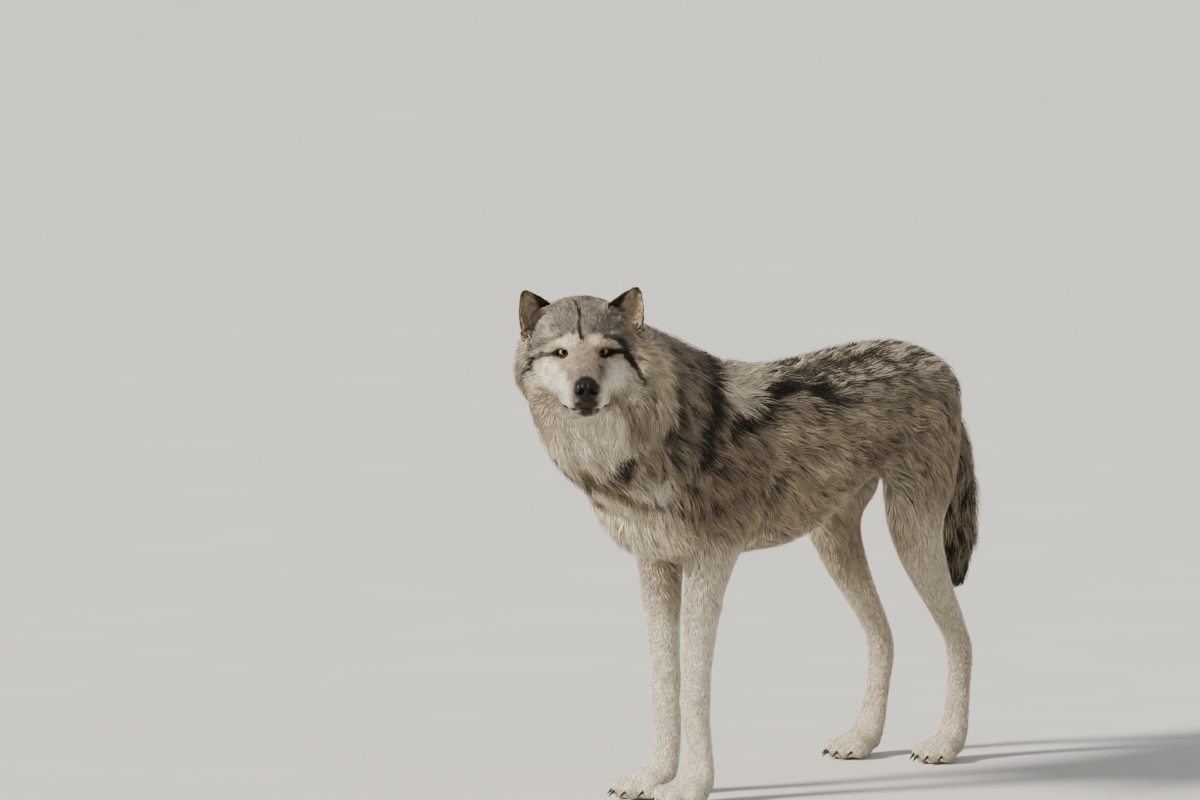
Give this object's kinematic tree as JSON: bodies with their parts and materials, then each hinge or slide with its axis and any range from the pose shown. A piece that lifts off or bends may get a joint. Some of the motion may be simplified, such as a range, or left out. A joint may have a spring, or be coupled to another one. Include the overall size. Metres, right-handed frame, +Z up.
{
  "type": "timber wolf",
  "caption": "Timber wolf as a still life-size animal model: shaggy coat, bushy tail held low, pricked ears, head turned to its left, standing on four flat soles.",
  "frame": {"origin": "on the floor below the middle of the standing wolf's bounding box", "axes": "+Z up; the wolf faces -X, its tail is at +X, its left side is -Y"},
  "size_m": [1.3674, 0.345, 0.9564],
  "materials": {
    "head_fur": "short dense fur, matt",
    "neck_fur": "long shaggy fur, matt",
    "trunk_fur": "long shaggy fur, matt",
    "leg_fur": "short fur, matt",
    "tail_fur": "bushy fur, matt",
    "ear_fur": "short velvety fur, matt",
    "nose_leather": "moist grained skin, satin",
    "eye_amber": "wet gloss",
    "claw_horn": "worn horn, satin"
  },
  "bodies": {
    "root": {"head": "head_fur", "neck": "neck_fur", "trunk": "trunk_fur", "tail": "tail_fur", "foreleg_left": "leg_fur", "foreleg_right": "leg_fur", "hindleg_left": "leg_fur", "hindleg_right": "leg_fur", "ear_left": "ear_fur", "ear_right": "ear_fur", "eye_left": "eye_amber", "eye_right": "eye_amber", "nose": "nose_leather", "claw_foreleg_left_1": "claw_horn", "claw_foreleg_left_2": "claw_horn", "claw_foreleg_left_3": "claw_horn", "claw_foreleg_left_4": "claw_horn", "claw_foreleg_right_1": "claw_horn", "claw_foreleg_right_2": "claw_horn", "claw_foreleg_right_3": "claw_horn", "claw_foreleg_right_4": "claw_horn", "claw_hindleg_left_1": "claw_horn", "claw_hindleg_left_2": "claw_horn", "claw_hindleg_left_3": "claw_horn", "claw_hindleg_left_4": "claw_horn", "claw_hindleg_right_1": "claw_horn", "claw_hindleg_right_2": "claw_horn", "claw_hindleg_right_3": "claw_horn", "claw_hindleg_right_4": "claw_horn"}
  },
  "joints": []
}
